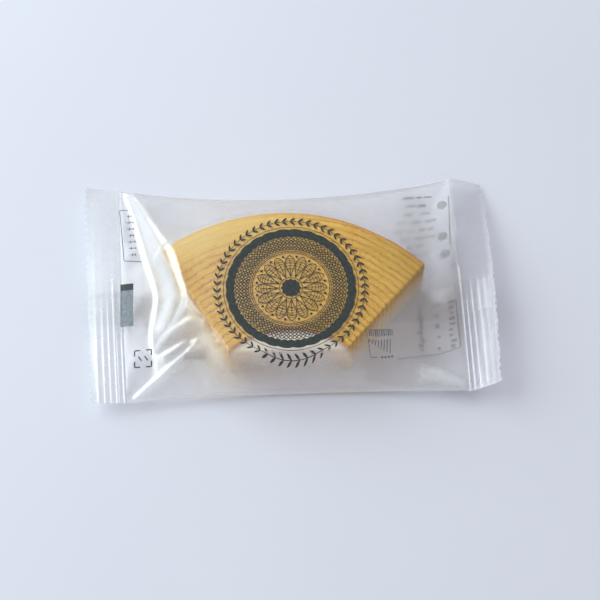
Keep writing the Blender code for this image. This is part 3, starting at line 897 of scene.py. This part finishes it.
def blot(edge):
    """A filled shape of ink inside an edge in mm."""
    deselect()
    bpy.ops.mesh.primitive_circle_add(vertices=len(edge), radius=1, fill_type="TRIFAN")
    made = bpy.context.object
    edge = np.array(edge, float)
    grid = get_points(made.data)
    flat = np.repeat(edge.mean(0)[None], len(grid), 0)
    is_edge = np.linalg.norm(grid[:, :2], axis=1) > 0.5
    turn = np.arctan2(grid[is_edge, 0], grid[is_edge, 1]) / (2 * math.pi) % 1
    flat[is_edge] = edge[np.rint(turn * len(edge)).astype(int) % len(edge)]
    set_points(made.data, np.column_stack([flat * MM, np.full(len(flat), PRINT_LIFT)]))
    return made


def ring(radius, turns, centre=ORNAMENT_CENTRE):
    radius = np.broadcast_to(radius, len(turns))
    return np.column_stack([centre[0] + radius * np.cos(turns), centre[1] + radius * np.sin(turns)])


def full_turn(steps):
    return np.linspace(0, 2 * math.pi, steps, endpoint=False)


def repeated(made, times):
    """The same shape of ink, times over, evenly round the ornament's centre."""
    x, y = ORNAMENT_CENTRE
    bpy.ops.object.mode_set(mode="EDIT")
    bpy.ops.mesh.select_all(action="SELECT")
    bpy.ops.mesh.spin(
        steps=times - 1, dupli=True, angle=2 * math.pi * (times - 1) / times,
        center=(x * MM, y * MM, 0), axis=(0, 0, 1))
    bpy.ops.object.mode_set(mode="OBJECT")
    return made


def petal_side(share):
    """How wide a petal is at a share of its length, as a share of its greatest width."""
    return np.sin(math.pi * share**1.3) ** 0.7


def leaf(radius, turn, length, width, tilt):
    """The edge of a pointed leaf, tilted from the ring that it stands on."""
    steps = np.linspace(0, 1, 7)
    side = np.sin(math.pi * steps) ** 0.8 * width / 2
    down = np.column_stack([steps - 0.5, side / length])[:-1]
    up = np.column_stack([0.5 - steps, -side / length])[:-1]
    edge = np.vstack([down, up]) * length
    way = turn + math.pi / 2 + tilt
    turned = edge @ np.array([[math.cos(way), math.sin(way)], [-math.sin(way), math.cos(way)]])
    return turned + ring(radius, np.array([turn]))


def printed(name, shapes, colour, from_above=True):
    """Joins shapes of ink, lays them on the film and gives them their thickness."""
    deselect()
    for made in shapes:
        made.select_set(True)
    bpy.context.view_layer.objects.active = shapes[0]
    if len(shapes) > 1:
        bpy.ops.object.join()
    ink = bpy.context.object
    ink.name = name
    if not from_above:
        points = get_points(ink.data)
        points[:, 2] = -PRINT_LIFT
        set_points(ink.data, points)
    bpy.ops.object.mode_set(mode="EDIT")
    bpy.ops.mesh.select_all(action="SELECT")
    bpy.ops.mesh.remove_doubles(threshold=0.005 * MM)
    bpy.ops.mesh.normals_make_consistent(inside=False)
    bpy.ops.object.mode_set(mode="OBJECT")
    normals = np.array([face.normal.z * face.area for face in ink.data.polygons])
    if (normals.sum() > 0) != from_above:
        ink.data.flip_normals()
    applied(
        ink, "SHRINKWRAP", target=film, wrap_method="PROJECT", use_project_z=True,
        use_negative_direction=from_above, use_positive_direction=not from_above,
        offset=INK_CLEARANCE)
    applied(ink, "SOLIDIFY", thickness=INK, offset=1)
    material, flow, shader = new_material(name + "_ink", Roughness=0.5)
    worn = flow.noise(900.0, 3.0).between(0.35, 0.75)
    thin = tuple(min(1, channel * 1.5 + 0.01) for channel in colour[:3]) + (1,)
    linked(flow, worn.mix(colour, thin), shader, "Base Color")
    linked(flow, 0.42 + worn * 0.2, shader, "Roughness")
    wear(ink, material)
    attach(ink, "root")
    return ink


wreath = []
for side in (-1, 1):
    edge = leaf(WREATH_RADIUS + side * LEAF_OFFSET, 0.0, LEAF_LENGTH, LEAF_WIDTH, side * LEAF_TILT)
    wreath.append(repeated(blot(edge), WREATH_LEAVES))
turns = full_turn(360)
for radius in (WREATH_RADIUS, BAND_LINE_RADIUS):
    wreath.append(strip(ring(radius, turns), WREATH_LINE, closed=True))
printed("print_wreath", wreath, INK_COLOUR)

inner_edge = BAND_RADII[0] + INNER_SCALLOP * np.sin(2 * BAND_SCALLOPS * turns)
outer_edge = BAND_RADII[1] + OUTER_SCALLOP * (np.abs(np.sin(BAND_SCALLOPS / 2 * turns)) - 0.5)
middle = ring((inner_edge + outer_edge) / 2, turns)
printed("print_band", [strip(middle, outer_edge - inner_edge, closed=True, cuts=5)], INK_COLOUR)

turns = full_turn(480)
braid = []
for radius in BRAID_RADII:
    for swing in (-BRAID_SWING, BRAID_SWING):
        line = ring(radius + swing * np.sin(BRAID_WAVES * turns), turns)
        braid.append(strip(line, BRAID_LINE, closed=True))
for radius in BRAID_RINGS:
    braid.append(strip(ring(radius, full_turn(240)), BRAID_RING_LINE, closed=True))
printed("print_braid", braid, INK_COLOUR)

steps = np.linspace(0, 1, 15)
low, high = ROSETTE_RADII
half = math.pi / ROSETTE_PETALS * PETAL_FULLNESS
side = half * petal_side(steps)
lines = [(low + (high - low) * steps, sign * side, PETAL_LINE) for sign in (-1, 1)]
middle = steps[:12]
lines.append((low + (high - low) * middle, 0 * middle, PETAL_MIDDLE_LINE))
for share in VEINS:
    reach = half * petal_side(share)
    across = np.linspace(-reach, reach, 5)
    bowed = share + VEIN_BOW * np.cos(across / reach * 1.5)
    lines.append((low + (high - low) * bowed, across, VEIN_LINE))
rosette = []
for radius, turns, width in lines:
    rosette.append(repeated(strip(ring(radius, turns), width), ROSETTE_PETALS))
turns = full_turn(120)
rosette.append(blot(ring(HUB_RADIUS + HUB_LOBE * np.cos(HUB_LOBES * turns), turns)))
rosette.append(strip(ring(HUB_RING, turns), HUB_LINE, closed=True))
between_tips = ring(DOT_PLACE, np.array([math.pi / ROSETTE_PETALS]))[0]
rosette.append(repeated(blot(ring(DOT_RADIUS, full_turn(10), between_tips)), ROSETTE_PETALS))
printed("print_rosette", rosette, INK_COLOUR)


# The open box of ticks and the cornered mark. They are printed in the same ink as the ornament,
# in fine lines on the front of the film, above and below the sensor mark.
TICK_BOX, TICK_BOX_LINE = ((-62.0, 35.5), (-65.3, 35.7), (-63.4, 13.2), (-56.5, 12.4)), 0.24
FIRST_TICK, LAST_TICK, TICKS = (-59.8, 15.6), (-61.4, 32.8), 7
WIDE_TICK, NARROW_TICK, TICK_LINE, TICK_BAR = 1.5, 1.1, 0.22, 0.2    # half widths, then lines
TICK_BARS = (((-0.3, 0.75), (-0.3, -0.75)), ((0.6, 0.6), (0.9, -0.6)))   # x in half widths, y in mm
CORNERED_MARK = ((-56.1, -28.0), 6.4, 6.6)   # centre, width and height
CORNER_ARMS, CORNER_LINE = (2.1, 2.2), 0.5
STROKE_PLACE, STROKE_REACH, STROKE_LINE = 1.2, (0.6, 0.9), 0.45
STROKE_STEP = 0.7                            # mm between the points of a line of ink


def line(ends, width):
    """A straight or bent line of ink that can follow the film under it."""
    return strip(spaced(ends, STROKE_STEP), width, cuts=max(1, round(width / STROKE_STEP)))


marks = [line(TICK_BOX, TICK_BOX_LINE)]
low, high = np.array(FIRST_TICK), np.array(LAST_TICK)
for step in range(TICKS):
    place = low + (high - low) * step / (TICKS - 1)
    wide = WIDE_TICK if step % 3 else NARROW_TICK
    marks.append(line((place - (wide, 0), place + (wide, 0)), TICK_LINE))
    for bar in TICK_BARS:
        marks.append(line([place + (wide * x, y) for x, y in bar], TICK_BAR))
centre, wide, high = CORNERED_MARK
for across in (-1, 1):
    for up in (-1, 1):
        corner = np.array(centre) + (across * wide / 2, up * high / 2)
        arms = (corner - (across * CORNER_ARMS[0], 0), corner, corner - (0, up * CORNER_ARMS[1]))
        marks.append(line(arms, CORNER_LINE))
    middle, (aside, rise) = np.array(centre) + (across * STROKE_PLACE, 0), STROKE_REACH
    marks.append(line((middle + (-aside, rise), middle + (aside, -rise)), STROKE_LINE))
printed("print_marks", marks, INK_COLOUR)


# The sensor mark, by which the machine that fills the packs finds where to cut. It is a field of
# slate grey ink with a darker band at its upper end, printed beside the left seal.
SENSOR_WIDTH = 5.0
SENSOR_FIELD = ((-62.3, 0.6), (-62.3, -14.3))
SENSOR_BAND = ((-62.3, 3.3), (-62.3, 0.6))

printed("print_sensor_field", [line(SENSOR_FIELD, SENSOR_WIDTH)], SLATE_COLOUR)
printed("print_sensor_band", [line(SENSOR_BAND, SENSOR_WIDTH)], INK_COLOUR)


# The bar mark, printed faintly at the lower right: a comb of upright bars, a hatched field below
# it and a row of short dashes at its foot, held together by a fine open frame.
BAR_MARK_TOP, BAR_MARK_FOOT = ((28.0, -26.0), (37.6, -25.1)), (29.3, -34.2)
BARS, BAR_LENGTH, THICK_BAR, THIN_BAR = 13, 0.24, 0.5, 0.28     # length as share of the height
FRAME_FOOT, FRAME_LINE = 0.28, 0.2                      # foot as share of the width
HATCHES, HATCH_PLACE, HATCH_STEP, HATCH_LINE = 8, 0.10, 0.11, 0.36
HATCH_TOP, SHORTEST_HATCH, HATCH_GROWTH = 0.36, 0.10, 0.06      # shares of the height
HATCH_LEAN, DASH_REACH = (0.8, 0), (0.8, 0.1)
FOOT_DASHES, DASH_PLACE, DASH_STEP, DASH_LINE = 4, 0.42, 0.13, 0.6

start, end, foot = (np.array(corner) for corner in (*BAR_MARK_TOP, BAR_MARK_FOOT))
marks = [line((end, start, foot, foot + (end - start) * FRAME_FOOT), FRAME_LINE)]
for step in range(1, BARS):
    top = start + (end - start) * step / (BARS - 1)
    wide = THICK_BAR if step % 3 else THIN_BAR
    marks.append(line((top, top + (foot - start) * BAR_LENGTH), wide))
for step in range(HATCHES):
    top = start + (end - start) * (HATCH_PLACE + HATCH_STEP * step) + (foot - start) * HATCH_TOP
    long = SHORTEST_HATCH + HATCH_GROWTH * step
    marks.append(line((top, top + (foot - start) * long - HATCH_LEAN), HATCH_LINE))
for step in range(FOOT_DASHES):
    place = foot + (end - start) * (DASH_PLACE + DASH_STEP * step)
    marks.append(line((place, place + DASH_REACH), DASH_LINE))
printed("print_bar_mark", marks, FAINT_COLOUR)


# The print on the back. Rows of small dashes with their bullets, a rule and an open box lie under
# the film's lower side in the same ink, and show blurred through the pack.
BACK_LINE = 0.5
BACK_BLOCK = ((44.0, 38.0), (60.0, 11.0), 9)            # from, to and rows
ROW_STARTS, SHORTEST_ROW = (-2, 3), 5                   # mm from the block's left, and from its right
DASH_LENGTHS, DASH_HEIGHTS, DASH_GAPS = (2.0, 5.0), (0.5, 1.0), (0.7, 0.9, 3.0)
BACK_BULLETS, BULLET_RADIUS = ((61.1, 33.7), (60.5, 20.3), (61.0, 12.7)), 1.9
BACK_RULE = ((63.8, 36.9), (63.1, 16.0))
BACK_BOX = ((63.6, -7.0), (64.2, -26.9), (57.0, -28.3), (40.5, -29.0))
BACK_COLUMNS = ((50.0, 11, 1.8), (56.6, 5, 2.2), (61.6, 9, 2.6))    # x, rows and widest dash
COLUMN_TOP, COLUMN_FOOT, COLUMN_NUDGE, COLUMN_HEIGHTS = -7.5, -26.0, 0.5, (0.9, 2.1)
BACK_STAMP, STAMP_REACH, STAMP_LINE = ((-41.2, -24.7), (-32.3, -24.9), 5), 1.6, 1.0

chance = np.random.default_rng(5)
marks = [line(BACK_RULE, BACK_LINE), line(BACK_BOX, BACK_LINE)]
marks += [blot(ring(BULLET_RADIUS, full_turn(12), centre)) for centre in BACK_BULLETS]
(left, top), (right, bottom), rows = BACK_BLOCK
for y in np.linspace(top, bottom, rows):
    x = left + chance.uniform(*ROW_STARTS)
    while x < right - SHORTEST_ROW:
        wide = chance.uniform(*DASH_LENGTHS)
        marks.append(line(((x, y), (x + wide, y)), chance.uniform(*DASH_HEIGHTS)))
        x += wide + chance.choice(DASH_GAPS)
for x, rows, widest in BACK_COLUMNS:
    for y in np.linspace(COLUMN_TOP, COLUMN_FOOT, rows):
        wide = chance.uniform(widest / 2, widest)
        nudge = chance.uniform(-COLUMN_NUDGE, COLUMN_NUDGE)
        high = chance.uniform(*COLUMN_HEIGHTS)
        marks.append(line(((x + nudge - wide / 2, y), (x + nudge + wide / 2, y)), high))
start, end, stamps = BACK_STAMP
for step in range(stamps):
    place = np.array(start) + (np.array(end) - start) * (step + 0.5) / stamps
    marks.append(line((place + (0, STAMP_REACH), place - (0, STAMP_REACH)), STAMP_LINE))
printed("print_back", marks, INK_COLOUR, from_above=False)
